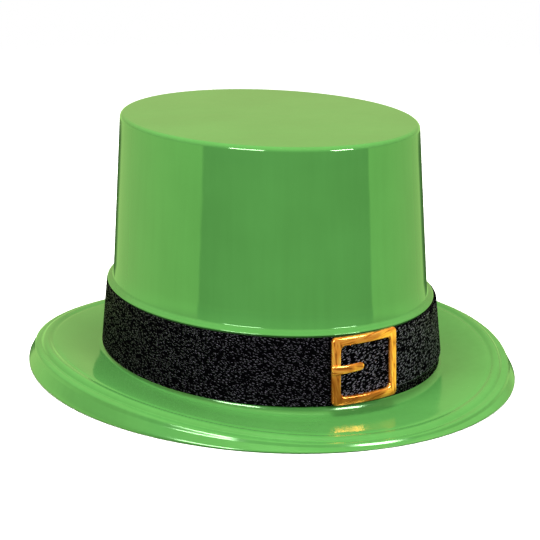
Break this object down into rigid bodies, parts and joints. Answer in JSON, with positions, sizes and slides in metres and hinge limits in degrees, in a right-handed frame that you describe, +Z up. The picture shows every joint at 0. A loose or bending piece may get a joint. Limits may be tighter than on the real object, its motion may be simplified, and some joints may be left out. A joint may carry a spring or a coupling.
{
  "type": "leprechaun hat",
  "caption": "Green moulded plastic top hat with a curled oval brim, a black faux-leather band with a lapped end, and a square gold buckle with a short tongue.",
  "frame": {"origin": "middle of the oval rim, on the surface that the hat stands on", "axes": "+Z up, -Y towards the front where the buckle is, X from ear to ear"},
  "size_m": [0.2464, 0.2886, 0.13],
  "materials": {
    "green_plastic": "glossy moulded green plastic",
    "black_leather": "black pebbled faux leather with a slight sheen",
    "gold_metal": "polished warm gold"
  },
  "bodies": {
    "root": {"hat_shell": "green_plastic", "band": "black_leather", "band_lap": "black_leather", "buckle_frame": "gold_metal", "buckle_tongue": "gold_metal"}
  },
  "joints": []
}
